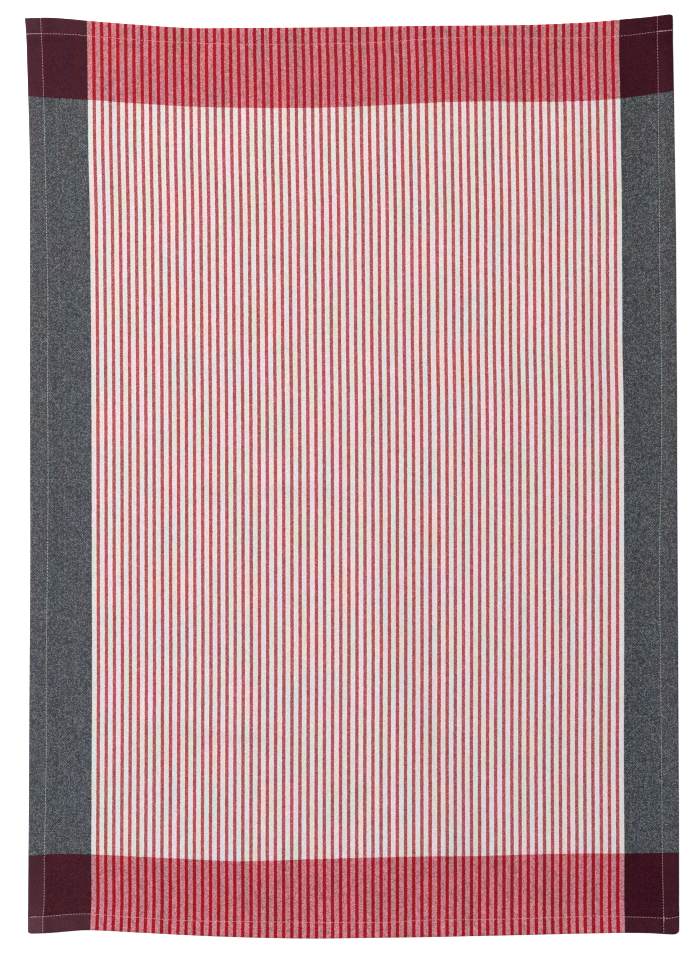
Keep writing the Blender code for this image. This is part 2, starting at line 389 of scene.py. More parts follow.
def hem_line(part, share, width, thick):
    """One line of a hem, folded from a sheet this thick: its distance in from the outer
    edge, its height, the direction of the sheet's face there (inwards and up), and how
    far along the cloth it is from the outer edge, negative where it is turned under."""
    pitch = thick + LAYER_GAP
    fold_in = width + INNER_FOLD
    outer = pitch + thick / 2
    inner = fold_in - pitch / 2 - thick / 2
    still = np.zeros_like(thick)
    half_round = pi * pitch
    under_end = outer - half_round - (inner - outer)
    if part == "face":
        place = outer + share * (fold_in - outer)
        return place, thick / 2 + 2 * pitch, still, still + 1, place
    if part == "step":
        place = fold_in + share * STEP_DOWN
        return place, thick / 2 + 2 * pitch * (1 - eased(share)), still, still + 1, place
    if part == "outer fold":
        angle = pi * (share - 0.5)
        along = outer - pitch * (pi / 2 - angle)
        return (outer - pitch * cos(angle), thick / 2 + pitch * (1 + sin(angle)),
                still - cos(angle), still + sin(angle), along)
    if part == "under":
        place = inner + share * (outer - inner)
        return place, thick / 2, still, still - 1, under_end + (inner - place)
    if part == "inner fold":
        angle = pi * (0.5 - share)
        along = under_end - pitch / 2 * (pi / 2 + angle)
        return (inner + pitch / 2 * cos(angle), thick / 2 + pitch / 2 * (1 + sin(angle)),
                still + cos(angle), still + sin(angle), along)
    place = RAW_EDGE + share * (inner - RAW_EDGE)
    return (place, thick / 2 + pitch, still, still + 1,
            under_end - pitch / 2 * pi - (inner - place))


def cloth_lines(steps):
    """All lines of the mesh in one direction: (side, part, share)."""
    low = [(-1, part, share) for part, share in HEM_LINES]
    high = [(1, part, share) for part, share in reversed(HEM_LINES)]
    field = [(0, "field", step / steps) for step in range(1, steps)]
    return low + field + high


def in_hem(line):
    """1 on a line in a hem, 0 on the single cloth, and between them on the way down."""
    side, part, share = line
    if side == 0:
        return 0.0
    return 1 - eased(share) if part == "step" else 1.0


def folded(line, low_hem, high_hem, thick, total):
    """A mesh line's place across the whole cloth, as hem_line gives it for one hem."""
    side, part, share = line
    if side < 0:
        return hem_line(part, share, low_hem, thick)
    if side > 0:
        place, height, inwards, up, along = hem_line(part, share, high_hem, thick)
        return total - place, height, -inwards, up, total - along
    start = low_hem + INNER_FOLD + STEP_DOWN
    end = total - high_hem - INNER_FOLD - STEP_DOWN
    place = start + share * (end - start)
    still = np.zeros_like(thick)
    return place + still, thick / 2, still, still + 1, place + still


def is_sewn_down(line):
    """1 on a line in a hem, up to its stitching, and 0 on the rest of the cloth."""
    side, part, share = line
    if side == 0 or part == "step":
        return 0.0
    return float(part != "face" or share < FACE_TO_STITCHING)


def stack_height(line, thick):
    """Height of all the layers on a mesh line, folded from a sheet this thick."""
    return thick + 2 * (thick + LAYER_GAP) * in_hem(line)


def fold_grid(lines, low_hem, high_hem, thick, total, axis):
    """folded() for all the lines, as arrays over the mesh."""
    parts = []
    for index, line in enumerate(lines):
        picked = np.take(thick, index, axis=axis)
        parts.append(folded(line, low_hem, high_hem, picked, total))
    return [np.stack([part[item] for part in parts], axis=axis) for item in range(5)]


def rough_places(lines, total):
    """About where each line lies from the towel's middle, before its hems' real widths."""
    thick = np.array([LAYER])
    width = np.array([USUAL_HEM])
    return np.array([folded(line, width, width, thick, total)[0][0] for line in lines]) - total / 2


def painted_sheen_on(x, y, turned):
    """How much painted sheen makes the cloth's raised hems paler: turned is 1 in a hem and 2 where two hems
    cross.
    """
    amount = np.full_like(x, PAINTED_SHEEN_ON_HEMS)
    for side_x, side_y, more in PAINTED_SHEEN_AT_CORNERS:
        away = np.hypot(x - side_x * PAINTED_SHEEN_CORNER[0], y - side_y * PAINTED_SHEEN_CORNER[1])
        amount += more * np.exp(-(away / PAINTED_SHEEN_REACH) ** 2)
    return amount * turned


def hem_curl(across, along, hems):
    """How far the hems curl up at each point, from their stitching to their outer edges."""
    places = across, WIDTH - across, along, LENGTH - along
    left, right, bottom, top = [curl * np.clip(1 - place / hem, 0, 1)
                                for curl, place, hem in zip(HEM_CURL, places, hems)]
    return np.hypot(left + right, bottom + top)


def edge_flattening(across, along):
    """How much lower the layers are pressed at each point, near the outer folds."""
    from_edge = np.minimum(np.minimum(across, WIDTH - across), np.minimum(along, LENGTH - along))
    return EDGE_FLATTENING * np.exp(-(np.maximum(from_edge, 0) / EDGE_REACH) ** 2)


def cloth_points():
    """Both sides of the folded cloth as grids of points, with their place in the weave."""
    columns = cloth_lines(GRID_COLUMNS)
    rows = cloth_lines(GRID_ROWS)
    rough_x = rough_places(columns, WIDTH)
    rough_y = rough_places(rows, LENGTH)

    hem_x = np.array([in_hem(line) for line in columns])[None, :]
    hem_y = np.array([in_hem(line) for line in rows])[:, None]
    layer = LAYER * (1 - HEM_SQUEEZE * (hem_x + hem_y) - CORNER_SQUEEZE * hem_x * hem_y)
    left_hem, right_hem = read_line(DOWN, 2, rough_y), read_line(DOWN, 5, rough_y)
    low_hem, top_hem = read_line(ACROSS, 2, rough_x), read_line(ACROSS, 5, rough_x)

    across, plate_height, across_tilt, plate_up, ends = fold_grid(
        columns, left_hem, right_hem, layer, WIDTH, 1)
    plate = np.stack([stack_height(line, layer[:, i]) for i, line in enumerate(columns)], 1)
    along, height, along_tilt, up, picks = fold_grid(rows, low_hem, top_hem, plate, LENGTH, 0)
    stack = np.stack([stack_height(line, plate[j]) for j, line in enumerate(rows)], 0)

    flattened = edge_flattening(across, along)
    hems = left_hem[:, None], right_hem[:, None], low_hem[None, :], top_hem[None, :]
    curl = hem_curl(across, along, hems)
    sides = []
    for side in (0.5, -0.5):
        off = side * layer
        out = plate_height + plate_up * off - plate / 2
        x, y = plan(across + across_tilt * off, along + along_tilt * out)
        x, y = turned_corners(x, y)
        z = height + up * out
        pinch = sum(np.exp(-(away / PINCH_REACH) ** 2) for away in stitch_lines(x, y))
        z = stack / 2 + (z - stack / 2) * (1 - PINCH * np.minimum(pinch, 1))
        curled = curl * (UNDER_CURL + (1 - UNDER_CURL) * z / stack)
        z = z * (1 - flattened) + curled
        sides.append(np.stack([x, y, z + lift(x, y)], -1))
    sewn_x = np.array([is_sewn_down(line) for line in columns])[None, :]
    sewn_y = np.array([is_sewn_down(line) for line in rows])[:, None]
    return sides, ends / END, picks / PICK, sewn_x + sewn_y


def cloth_mesh():
    """The cloth as one closed mesh: its face, its back and its cut edges."""
    (face, back), ends, picks, turned = cloth_points()
    # Painted sheen: how much paler the raised hems are made.
    painted_sheen = painted_sheen_on(face[..., 0], face[..., 1], turned)
    rows, columns = ends.shape
    count = rows * columns
    points = np.concatenate([face.reshape(-1, 3), back.reshape(-1, 3)])
    index = np.arange(count).reshape(rows, columns)
    quads = np.stack([index[:-1, :-1], index[:-1, 1:], index[1:, 1:], index[1:, :-1]], -1)
    quads = quads.reshape(-1, 4)
    edge = np.concatenate([index[0, :], index[1:, -1], index[-1, -2::-1], index[-2:0:-1, 0]])
    after = np.roll(edge, -1)
    rim = np.stack([edge, edge + count, after + count, after], -1)
    faces = np.concatenate([quads, quads[:, ::-1] + count, rim])

    mesh = bpy.data.meshes.new("cloth")
    mesh.from_pydata(points.tolist(), [], faces.tolist())
    mesh.shade_smooth()
    weave = np.stack([ends.ravel(), picks.ravel()], -1)
    corners = faces.ravel()
    layer = mesh.uv_layers.new(name="weave")
    layer.uv.foreach_set("vector", weave[corners % count].astype(np.float32).ravel())
    bake_map(mesh, weave, corners, count)
    # The painted sheen, kept on the points for the material to read.
    layer = mesh.attributes.new("painted_sheen", "FLOAT", "POINT")
    layer.data.foreach_set("value", np.tile(painted_sheen.ravel(), 2).astype(np.float32))
    return mesh


FACE_SHARE = 0.60        # share of the second map's width that the cloth's face has
MAP_FILL = 0.995         # and how much of its share each side fills
MAP_ROOM = 30            # turned yarns that it has room for: those deeper never show


def bake_map(mesh, weave, corners, count):
    """A second map with the cloth's face and back side by side, the face the larger."""
    turned = MAP_ROOM * END, MAP_ROOM * PICK
    size = np.array([WIDTH + 2 * turned[0], LENGTH + 2 * turned[1]])
    flat = (weave * (END, PICK) + turned) / size[1]
    face_scale = MAP_FILL * FACE_SHARE * size[1] / size[0]
    back_scale = MAP_FILL * (1 - FACE_SHARE) * size[1] / size[0]
    on_back = (corners >= count)[:, None]
    placed = flat[corners % count]
    placed = np.where(on_back, placed * back_scale + (FACE_SHARE, 0.0), placed * face_scale)
    layer = mesh.uv_layers.new(name="OFBake")
    layer.uv.foreach_set("vector", placed.astype(np.float32).ravel())


# ---------------------------------------------------------------- sewing

THREAD = 0.00014         # radius of the sewing thread
STITCH = 0.00220         # from one needle hole to the next
STITCH_UNEVEN = 0.0009   # how far the holes stray from an even spacing, slowly
STITCH_SHOWN = 0.76      # share of a stitch that lies on the cloth
STITCH_SIDES = 6
STITCH_SEAT = 0.00004    # how far the thread's middle lies above the cloth
STITCH_STRAY = 0.00004   # how far each end of a stitch strays, by chance
STITCH_SWAYS = (0.021, 0.057)   # lengths over which the spacing of the holes changes
PROBE_HEIGHT = 0.02      # how far off the surface a look for the cloth starts

# One stitch, from hole to hole.
#    share of its length, rise of the thread, girth of the thread, in radii
STITCH_COURSE = (
    (0.00, -1.50, 0.60),
    (0.10, -0.45, 0.85),
    (0.28, 0.10, 1.00),
    (0.50, 0.20, 1.00),
    (0.72, 0.10, 1.00),
    (0.90, -0.45, 0.85),
    (1.00, -1.50, 0.60),
)

# The lines of sewing: name, table, column of the edge, column of the hem, way inwards,
# and where the line starts and ends.
SEWING = (
    ("left", DOWN, 1, 2, 1, -0.3485, 0.3512),
    ("right", DOWN, 6, 5, -1, -0.3490, 0.3530),
    ("bottom", ACROSS, 1, 2, 1, -0.2472, 0.2505),
    ("top", ACROSS, 6, 5, -1, -0.2500, 0.2462),
)

# Where a line was sewn twice to hold it.
#    line,    from,    to,      shift across the line
BACKSTITCHES = (
    ("top", -0.2490, -0.2365, 0.0003),
    ("top", 0.2335, 0.2452, 0.0003),
    ("top", 0.2328, 0.2408, -0.0001),
    ("bottom", -0.2460, -0.2410, 0.0004),
    ("bottom", 0.2372, 0.2420, -0.0004),
    ("right", -0.3404, -0.3355, 0.0004),
)


def sewn_line(line, start, end, shift):
    """Ends of the stitches on one line of sewing, as an array of pairs of (x, y)."""
    _, table, edge, hem, inwards, _, _ = line
    at = np.arange(start, end, STITCH)
    short, long = STITCH_SWAYS
    at = at + STITCH_UNEVEN * np.sin(at / short) * np.sin(at / long)
    pairs = np.stack([at[:-1], at[:-1] + STITCH * STITCH_SHOWN], -1)
    away = read_line(table, edge, pairs) + inwards * read_line(table, hem, pairs) + shift
    return np.stack([pairs, away] if table is ACROSS else [away, pairs], -1)


def all_stitches():
    """Ends of every stitch that shows on one side of the cloth, a little uneven."""
    lines = {line[0]: line for line in SEWING}
    runs = [sewn_line(line, line[5], line[6], 0.0) for line in SEWING]
    runs += [sewn_line(lines[name], start, end, shift) for name, start, end, shift in BACKSTITCHES]
    stitches = np.concatenate(runs)
    rng = np.random.default_rng(11)
    return stitches + rng.normal(0, STITCH_STRAY, stitches.shape)


def surface_height(tree, x, y, side):
    """Height of the cloth's face (side 1) or underside (side -1) at a place."""
    start = Vector((x, y, PROBE_HEIGHT * side))
    hit, _, _, _ = tree.ray_cast(start, Vector((0, 0, -side)))
    return hit.z if hit else None


def stitch_tube(start, end, side, tree):
    """Points and faces of one stitch: a thread that comes out of the cloth and goes back."""
    shares, rises, girths = np.array(STITCH_COURSE).T
    rises = rises * THREAD
    girths = girths * THREAD
    course = start + shares[:, None] * (end - start)
    ground = [surface_height(tree, x, y, side) for x, y in course]
    if None in ground:
        return None
    height = np.maximum(np.array(ground) + side * (rises + STITCH_SEAT), THREAD)
    run = (end - start) / np.linalg.norm(end - start)
    turns = np.linspace(0, 2 * pi, STITCH_SIDES, endpoint=False)
    sideways = girths[:, None] * np.cos(turns)
    upwards = girths[:, None] * np.sin(turns)
    x = course[:, :1] - run[1] * sideways
    y = course[:, 1:] + run[0] * sideways
    z = height[:, None] + upwards
    rings = len(shares)
    index = np.arange(rings * STITCH_SIDES).reshape(rings, STITCH_SIDES)
    beside = np.roll(index, -1, axis=1)
    walls = np.stack([index[:-1], beside[:-1], beside[1:], index[1:]], -1).reshape(-1, 4)
    ends = [tuple(index[0, ::-1]), tuple(index[-1])]
    return np.stack([x, y, z], -1).reshape(-1, 3), [tuple(wall) for wall in walls] + ends


def sewing_mesh(cloth):
    """All the stitches of both sides in one mesh."""
    tree = BVHTree.FromPolygons([v.co for v in cloth.vertices], [p.vertices for p in cloth.polygons])
    points, faces = [], []
    first = 0
    for side in (1, -1):
        for start, end in all_stitches():
            tube = stitch_tube(start, end, side, tree)
            if tube is None:
                continue
            points.append(tube[0])
            faces += [tuple(int(corner) + first for corner in face) for face in tube[1]]
            first += len(tube[0])
    mesh = bpy.data.meshes.new("sewing")
    mesh.from_pydata(np.concatenate(points).tolist(), [], faces)
    mesh.shade_smooth()
    return mesh


# ---------------------------------------------------------------- materials

# What shows where a warp yarn lies on top, and where a weft yarn does, in linear colour.
# Yarns tint each other, and the shade they cast between them is painted in, so each pair
# of yarns has its own two colours. The last numbers are how uneven the pair looks, in red,
# green and blue. The warp is charcoal at the left, white, white beside red, red, and
# charcoal at the right, a little darker than at the left, and it crosses three lots of weft.
#    warp on top,            weft on top,              unevenness
CROSSINGS = (
    # the red weft of the bottom band
    ((0.0439, 0.0040, 0.0116), (0.0664, 0.0161, 0.0245), (0.65, 0.90, 0.80)),
    ((0.5085, 0.2539, 0.2762), (0.4481, 0.0978, 0.1174), (0.86, 1.30, 1.27)),
    ((0.6364, 0.2539, 0.2821), (0.5766, 0.0983, 0.1188), (0.86, 1.30, 1.27)),
    ((0.2947, 0.0020, 0.0099), (0.3223, 0.0128, 0.0258), (0.50, 1.40, 1.40)),
    ((0.0327, 0.0000, 0.0053), (0.0471, 0.0065, 0.0172), (0.75, 1.30, 0.90)),
    # the white weft between the bands
    ((0.0241, 0.0274, 0.0347), (0.1688, 0.1773, 0.1933), (0.95, 0.95, 0.95)),
    ((0.6400, 0.6190, 0.6110), (0.6970, 0.6670, 0.6590), (0.25, 0.25, 0.25)),
    ((0.8350, 0.6200, 0.6150), (0.8820, 0.6670, 0.6620), (0.25, 0.25, 0.25)),
    ((0.3480, 0.0600, 0.0690), (0.4280, 0.1550, 0.1680), (0.67, 1.07, 1.05)),
    ((0.0189, 0.0218, 0.0278), (0.1539, 0.1641, 0.1787), (1.05, 1.05, 1.05)),
    # the red weft of the top band
    ((0.0464, 0.0056, 0.0147), (0.0640, 0.0155, 0.0248), (0.55, 0.75, 0.65)),
    ((0.4938, 0.2551, 0.2738), (0.4361, 0.0961, 0.1126), (0.83, 1.25, 1.22)),
    ((0.6141, 0.2551, 0.2789), (0.5560, 0.0961, 0.1136), (0.83, 1.25, 1.22)),
    ((0.3090, 0.0050, 0.0152), (0.3354, 0.0162, 0.0303), (0.50, 1.40, 1.35)),
    ((0.0352, 0.0007, 0.0071), (0.0469, 0.0092, 0.0172), (0.55, 0.90, 0.80)),
)
WARP_KINDS = 5
WARP_COVER = 0.16        # how much of a weft crossing the warp yarns beside it cover
# Painted light: the towel warmer and lighter towards its top, cooler towards its bottom.
PAINTED_LIGHT_UPWARDS = (0.026, 0.004, -0.016)   # how much more of each colour the top shows
# Painted sheen: the pale colour mixed into the raised hems.
PAINTED_SHEEN_COLOUR = (0.55, 0.36, 0.40, 1.0)
THREAD_COLOUR = (0.71, 0.715, 0.74, 1)
THREAD_IN_BANDS = (0.98, 0.50, 0.57, 1)
THREAD_IN_CORNERS = (0.82, 0.46, 0.52, 1)
RED_SWELL = 0.17         # how far, in ends, the red yarns swell over the white beside them
BESIDE_RED = 0.9         # how far, in ends, a red stripe tints the white beside it
BESIDE_BORDER = 1.1      # and how far in from a border the white stays untinted
TINT_PLAIN = 0.05        # how far the colours stray on the plain borders,
TINT_IN_BANDS = 0.11     # where the red weft crosses them,
TINT_STRIPED = 0.08      # and on the striped cloth
CLOUDS_PLAIN = 0.065     # how strong the large clouds are on the plain borders,
CLOUDS_STRIPED = 0.02    # and on the striped cloth
COVER_UNEVEN = 0.11      # how far the warp's cover strays
YARN_STEP = 7.3          # how far apart in their noise two yarns beside each other are
THREAD_TWIST = 0.00035   # length of one turn of the sewing thread
THREAD_FIBRES = 9000.0   # features a metre of the thread's unevenness
BANDS_FROM = 0.289       # how far up or down from the middle the thread is in a band
BORDERS_FROM = 0.204     # and how far to a side it is in a border


class Shader:
    """A new material's nodes. Each method adds a node and gives its output."""

    def __init__(self, name):
        self.material = bpy.data.materials.new(name)
        self.material.use_nodes = True
        self.nodes = self.material.node_tree.nodes
        self.links = self.material.node_tree.links
        self.surface = self.nodes["Principled BSDF"]

    def give(self, socket, value):
        """Set a socket to a number or colour of its own, or join it to an output."""
        if isinstance(value, bpy.types.NodeSocket):
            self.links.new(value, socket)
        else:
            socket.default_value = value

    def finish_with(self, **values):
        """Values of the surface shader, such as Base_Color."""
        for name, value in values.items():
            self.give(self.surface.inputs[name.replace("_", " ")], value)

    def add(self, kind, output, inputs, **settings):
        node = self.nodes.new("ShaderNode" + kind)
        for name, value in settings.items():
            setattr(node, name, value)
        for name, value in inputs.items():
            self.give(node.inputs[name], value)
        return node.outputs[output]

    def math(self, operation, *values):
        return self.add("Math", 0, dict(enumerate(values)), operation=operation)

    def blend(self, share, first, second):
        """Two colours mixed."""
        return self.add("Mix", 2, {0: share, 6: first, 7: second}, data_type="RGBA")

    def carry(self, value, low, high, to_low, to_high, how="LINEAR"):
        """A number carried from one range to another."""
        inputs = {"Value": value, "From Min": low, "From Max": high, "To Min": to_low, "To Max": to_high}
        return self.add("MapRange", 0, inputs, interpolation_type=how)

    def blend_numbers(self, share, first, second):
        """Two numbers mixed."""
        return self.add("Mix", 0, {0: share, 2: first, 3: second}, data_type="FLOAT")

    def scaled(self, colour, factor):
        """A colour made lighter or darker."""
        return self.add("VectorMath", 0, {0: colour, "Scale": factor}, operation="SCALE")

    def varied(self, colour, amount, channels):
        """A colour made lighter or darker, more in some of its channels than in others."""
        change = self.add("VectorMath", 0, {0: channels, "Scale": amount}, operation="SCALE")
        factor = self.add("VectorMath", 0, {0: change, 1: (1.0, 1.0, 1.0)}, operation="ADD")
        return self.add("VectorMath", 0, {0: colour, 1: factor}, operation="MULTIPLY")

    def tinted(self, colour, warmth, tone, amount):
        """A colour turned a little by two noises: to red or green, and to blue or yellow."""
        red = self.carry(warmth, 0.2, 0.8, -1.0, 1.0)
        blue = self.carry(tone, 0.2, 0.8, -1.0, 1.0)
        turn = self.add("CombineXYZ", 0, {0: red, 1: self.math("MULTIPLY", red, -0.5), 2: blue})
        return self.varied(colour, amount, turn)

    def vector(self, x, y):
        return self.add("CombineXYZ", 0, {0: x, 1: y})

    def noise(self, x, y, detail=2.0):
        """Smooth noise with features one unit apart."""
        inputs = {"Vector": self.vector(x, y), "Scale": 1.0, "Detail": detail}
        return self.add("TexNoise", 0, inputs, noise_dimensions="2D")

    def noise_at(self, x, x_scale, y, y_scale, detail=2.0):
        """The same noise, drawn out by a scale of its own each way."""
        x = self.math("MULTIPLY", x, x_scale)
        return self.noise(x, self.math("MULTIPLY", y, y_scale), detail)

    def dice(self, x, y):
        """An even random number for each whole place."""
        whole = self.vector(self.math("FLOOR", x), self.math("FLOOR", y))
        return self.add("TexWhiteNoise", 0, {"Vector": whole}, noise_dimensions="2D")

    def pick(self, number, colours):
        """One of the colours, by a whole number."""
        share = self.math("DIVIDE", self.math("ADD", number, 0.5), len(colours))
        output = self.add("ValToRGB", 0, {0: share})
        ramp = output.node.color_ramp
        ramp.interpolation = "CONSTANT"
        for index, colour in enumerate(colours):
            element = ramp.elements[index] if index < 2 else ramp.elements.new(index / len(colours))
            element.position = index / len(colours)
            element.color = (*colour, 1)
        return output


def crossing(s, ends, picks):
    """Which of the CROSSINGS a place of the cloth belongs to, and whether it is striped."""
    last_end = LEFT_BORDER_ENDS + FIELD_ENDS
    last_pick = BAND_PICKS + CENTRE_PICKS
    right_border = s.math("GREATER_THAN", ends, last_end)
    striped = s.math("SUBTRACT", s.math("GREATER_THAN", ends, LEFT_BORDER_ENDS), right_border)
    from_red = s.math("SUBTRACT", ends, LEFT_BORDER_ENDS + RED_SWELL)
    in_repeat = s.math("FLOORED_MODULO", from_red, REPEAT_ENDS)
    red = s.math("GREATER_THAN", in_repeat, WHITE_ENDS - 2 * RED_SWELL)
    from_middle = s.math("ABSOLUTE", s.math("SUBTRACT", in_repeat, WHITE_ENDS / 2 - RED_SWELL))
    beside_red = s.math("GREATER_THAN", from_middle, WHITE_ENDS / 2 - RED_SWELL - BESIDE_RED)
    from_centre = s.math("ABSOLUTE", s.math("SUBTRACT", ends, LEFT_BORDER_ENDS + FIELD_ENDS / 2))
    off_border = s.math("LESS_THAN", from_centre, FIELD_ENDS / 2 - BESIDE_BORDER)
    kind = s.math("MULTIPLY_ADD", s.math("ADD", beside_red, red), off_border, 1.0)
    kind = s.math("ADD", s.math("MULTIPLY", striped, kind), s.math("MULTIPLY", right_border, WARP_KINDS - 1))
    lot = s.math("ADD", s.math("GREATER_THAN", picks, BAND_PICKS),
                 s.math("GREATER_THAN", picks, last_pick))
    return s.math("MULTIPLY_ADD", lot, WARP_KINDS, kind), striped


def tint_amount(s, picks, striped):
    """How far the colours stray: most where the red weft crosses the plain borders."""
    from_middle = s.math("ABSOLUTE", s.math("SUBTRACT", picks, BAND_PICKS + CENTRE_PICKS / 2))
    banded = s.math("GREATER_THAN", from_middle, CENTRE_PICKS / 2)
    plain = s.blend_numbers(banded, TINT_PLAIN, TINT_IN_BANDS)
    return s.blend_numbers(striped, plain, TINT_STRIPED)


def swayed_yarns(s):
    """Places counted in ends and in picks, along yarns that sway a little."""
    flat = s.add("UVMap", 0, {}, uv_map="weave")
    ends = s.add("SeparateXYZ", 0, {0: flat})
    picks = s.add("SeparateXYZ", 1, {0: flat})
    sway = s.noise_at(ends, 0.35, picks, 0.12)
    ends = s.math("ADD", ends, s.carry(sway, 0, 1, -0.25, 0.25))
    sway = s.noise_at(ends, 0.10, picks, 0.35)
    picks = s.math("ADD", picks, s.carry(sway, 0, 1, -0.40, 0.40))
    return ends, picks


def warp_over_weft(s, ends, picks):
    """How far the warp lies over the weft: above 0 it shows, below 0 the weft does."""
    over = s.math("MULTIPLY", s.math("SINE", s.math("MULTIPLY", ends, pi)),
                  s.math("SINE", s.math("MULTIPLY", picks, pi)))
    chance = s.carry(s.dice(ends, picks), 0, 1, -0.25, 0.25)
    streak = s.noise_at(ends, 0.32, picks, 0.0002, 1.0)
    dense = s.carry(streak, 0.2, 0.8, WARP_COVER - COVER_UNEVEN, WARP_COVER + COVER_UNEVEN)
    return s.math("ADD", s.math("ADD", over, dense), chance)


def uneven_yarns(s, ends, picks):
    """How much lighter or darker each place of the warp and of the weft is."""
    whole_end = s.math("MULTIPLY", s.math("FLOOR", ends), YARN_STEP)
    whole_pick = s.math("MULTIPLY", s.math("FLOOR", picks), YARN_STEP)
    thick_end = s.noise(whole_end, s.math("MULTIPLY", picks, 0.03))
    thick_pick = s.noise(s.math("MULTIPLY", ends, 0.03), whole_pick)
    fleck = s.math("POWER", s.dice(s.math("ADD", ends, 80.0), picks), 1.4)
    of_warp = s.math("ADD", s.carry(thick_end, 0.2, 0.8, -0.10, 0.10),
                     s.carry(s.dice(s.math("ADD", ends, 40.0), picks), 0, 1, -0.40, 0.40))
    of_weft = s.math("ADD", s.carry(thick_pick, 0.2, 0.8, -0.13, 0.13),
                     s.carry(fleck, 0, 1, -0.55, 0.77))
    return of_warp, of_weft


def yarn_colour(s, ends, picks, zone, over):
    """Colour of the yarn that lies on top, with painted shade that makes it lighter on the crown
    of each crossing and darker between the yarns, and how high that crown is."""
    uneven = s.pick(zone, [amounts for _, _, amounts in CROSSINGS])
    of_warp, of_weft = uneven_yarns(s, ends, picks)
    warp_colour = s.varied(s.pick(zone, [warp for warp, _, _ in CROSSINGS]), of_warp, uneven)
    weft_colour = s.varied(s.pick(zone, [weft for _, weft, _ in CROSSINGS]), of_weft, uneven)
    warp_on_top = s.carry(over, -0.08, 0.08, 0.0, 1.0, "SMOOTHSTEP")
    colour = s.blend(warp_on_top, weft_colour, warp_colour)
    crown = s.carry(s.math("ABSOLUTE", over), 0.0, 0.7, 0.0, 1.0, "SMOOTHSTEP")
    # Painted shade: darker where the yarns dip between each other, lighter on their crowns.
    return s.varied(colour, s.carry(crown, 0, 1, -0.14, 0.06), uneven), crown


def cloth_colour(s, colour, ends, picks, striped):
    """The yarns' colour with clouds and tints that are larger than a yarn, painted light that makes it
    warmer towards the top, and painted sheen on the raised hems.
    """
    cloud = s.noise_at(ends, 0.07, picks, 0.04)
    clouds = s.carry(striped, 0, 1, CLOUDS_PLAIN, CLOUDS_STRIPED)
    cloudy = s.math("MULTIPLY", s.carry(cloud, 0.2, 0.8, -1, 1), clouds)
    colour = s.scaled(colour, s.math("ADD", cloudy, 1.0))
    # Painted light: warmer towards the top of the towel, cooler towards the bottom.
    upwards = s.carry(picks, 0, CENTRE_PICKS + 2 * BAND_PICKS, -1, 1)
    colour = s.varied(colour, upwards, PAINTED_LIGHT_UPWARDS)
    warmth = s.noise_at(ends, 0.07, picks, 0.015, 0.0)
    tone = s.noise_at(picks, 0.015, ends, 0.07, 0.0)
    colour = s.tinted(colour, warmth, tone, tint_amount(s, picks, striped))
    # Painted sheen: the raised hems of the plain borders made paler.
    painted_sheen = s.add("Attribute", 2, {}, attribute_name="painted_sheen")
    return s.blend(s.math("MULTIPLY", painted_sheen, s.math("SUBTRACT", 1.0, striped)), colour, PAINTED_SHEEN_COLOUR)


def weave_material():
    """Plain weave: yarn by yarn, each crossing a little different, with the yarns' own
    unevenness, their crowns and the fibres on them."""
    s = Shader("woven_cotton")
    ends, picks = swayed_yarns(s)
    over = warp_over_weft(s, ends, picks)
    zone, striped = crossing(s, ends, picks)
    colour, crown = yarn_colour(s, ends, picks, zone, over)
    colour = cloth_colour(s, colour, ends, picks, striped)

    fibres = s.noise_at(ends, 6.0, picks, 6.0, 3.0)
    height = s.math("ADD", crown, s.math("MULTIPLY", fibres, 0.5))
    normal = s.add("Bump", 0, {"Strength": 0.35, "Distance": 0.00012, "Height": height})
    s.finish_with(Base_Color=colour, Normal=normal, Roughness=s.carry(fibres, 0.2, 0.8, 0.82, 0.97),
                  Specular_IOR_Level=0.10, Sheen_Weight=0.02, Sheen_Roughness=0.5)
    return s.material


def thread_material():
    """Off-white sewing thread, of fibres twisted round it, pink where the red ran into it, with painted
    shade in its twist and painted light that falls off to the right.
    """
    s = Shader("sewing_thread")
    place = s.add("TexCoord", "Object", {})
    x = s.add("SeparateXYZ", 0, {0: place})
    y = s.add("SeparateXYZ", 1, {0: place})
    twist = s.math("SINE", s.math("MULTIPLY", s.math("ADD", x, y), 2 * pi / THREAD_TWIST))
    fluff = s.noise_at(x, THREAD_FIBRES, y, THREAD_FIBRES)
    # Painted shade: the thread darker in the grooves of its twist.
    shade = s.math("ADD", s.carry(twist, -1, 1, 0.78, 1.0), s.carry(fluff, 0.2, 0.8, -0.08, 0.08))
    normal = s.add("Bump", 0, {"Strength": 0.4, "Distance": 0.00005, "Height": twist})
    # Painted light: the thread lighter at the left, where the light comes from, and darker at the right.
    shade = s.math("MULTIPLY", shade, s.carry(x, -0.25, 0.25, 1.08, 0.92))
    on_red = s.math("GREATER_THAN", s.math("ABSOLUTE", y), BANDS_FROM)
    on_border = s.math("GREATER_THAN", s.math("ABSOLUTE", x), BORDERS_FROM)
    colour = s.blend(on_border, THREAD_IN_BANDS, THREAD_IN_CORNERS)
    colour = s.blend(on_red, THREAD_COLOUR, colour)
    s.finish_with(Base_Color=s.scaled(colour, shade), Normal=normal,
                  Roughness=s.carry(fluff, 0.2, 0.8, 0.6, 0.8), Sheen_Weight=0.1)
    return s.material


FLOOR_REACH = 30.0       # half the side of the floor
FLOOR_GLOW = 0.70


def floor_material():
    """White board of a light table, which glows a little so that shadows stay pale."""
    s = Shader("light_table")
    place = s.add("TexCoord", "Object", {})
    mottle = s.add("TexNoise", 0, {"Vector": place, "Scale": 3.0})
    s.finish_with(Base_Color=s.blend(mottle, (0.95, 0.95, 0.95, 1), (0.94, 0.94, 0.94, 1)),
                  Roughness=0.9, Specular_IOR_Level=0.1, Emission_Strength=FLOOR_GLOW)
    return s.material


# ---------------------------------------------------------------- the scene

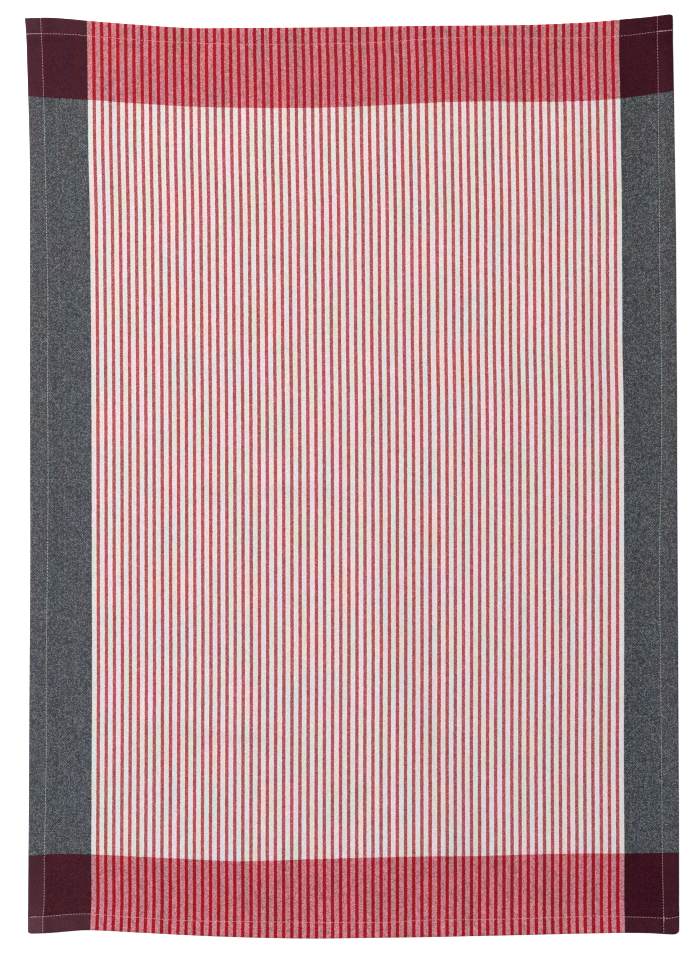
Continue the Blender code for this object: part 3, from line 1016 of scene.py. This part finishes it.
# The photograph: its size in pixels, the size of one pixel on the towel, and the pixel
# that lies at the origin.
PHOTO_WIDTH = 700
PHOTO_HEIGHT = 957
PIXEL = 0.0007657
ORIGIN_PIXEL = (352.3, 476.5)
LENS = 100.0             # in mm, on a sensor 36 mm long
SENSOR = 36.0

# The soft lights: a large one far off at the top left and a smaller one at the left.
#    name, place, size, power in watts
LIGHTS = (
    ("key", (-3.1, 3.3, 3.4), 2.3, 241.0),
    ("side", (-1.6, 0.2, 1.9), 1.0, 20.0),
)
ROOM_COLOUR = (1.0, 0.985, 0.975, 1)
ROOM_LIGHT = 0.485
PIXEL_BLUR = 1.3         # width of the picture's filter, in pixels


def add_object(name, mesh, material):
    piece = bpy.data.objects.new(name, mesh)
    mesh.materials.append(material)
    bpy.context.scene.collection.objects.link(piece)
    return piece


def add_cloth():
    cloth = add_object("towel_cloth", cloth_mesh(), weave_material())
    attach(cloth, "root")
    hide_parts("towel")
    return cloth


def add_sewing(cloth):
    sewing = add_object("hem_stitching", sewing_mesh(cloth.data), thread_material())
    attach(sewing, "root")
    return sewing


def add_floor():
    mesh = bpy.data.meshes.new("floor")
    sides = ((-1, -1), (1, -1), (1, 1), (-1, 1))
    corners = [(x * FLOOR_REACH, y * FLOOR_REACH, 0) for x, y in sides]
    mesh.from_pydata(corners, [], [(0, 1, 2, 3)])
    add_object("floor", mesh, floor_material())


def add_camera():
    """Square above the towel, as far away as makes one pixel its size on the towel."""
    data = bpy.data.cameras.new("camera")
    data.lens = LENS
    data.sensor_width = SENSOR
    camera = bpy.data.objects.new("camera", data)
    distance = PIXEL * PHOTO_HEIGHT * LENS / SENSOR
    camera.location = ((PHOTO_WIDTH / 2 - ORIGIN_PIXEL[0]) * PIXEL,
                       (ORIGIN_PIXEL[1] - PHOTO_HEIGHT / 2) * PIXEL, distance + 2 * LAYER)
    bpy.context.scene.collection.objects.link(camera)
    bpy.context.scene.camera = camera


def add_light(name, place, size, power):
    """A square soft light that shines at the towel."""
    data = bpy.data.lights.new(name, "AREA")
    data.size = size
    data.energy = power
    light = bpy.data.objects.new(name, data)
    light.location = place
    light.rotation_euler = (-Vector(place)).to_track_quat("-Z", "Y").to_euler()
    bpy.context.scene.collection.objects.link(light)


def add_lighting():
    """The soft lights in an even room, and how the picture is developed."""
    for light in LIGHTS:
        add_light(*light)
    world = bpy.data.worlds.new("room")
    world.use_nodes = True
    background = world.node_tree.nodes["Background"]
    background.inputs["Color"].default_value = ROOM_COLOUR
    background.inputs["Strength"].default_value = ROOM_LIGHT
    bpy.context.scene.world = world
    bpy.context.scene.view_settings.view_transform = "Standard"
    bpy.context.scene.cycles.use_denoising = False
    bpy.context.scene.cycles.filter_width = PIXEL_BLUR


def main():
    cloth = add_cloth()
    sewing = add_sewing(cloth)
    add_floor()
    add_camera()
    add_lighting()


main()
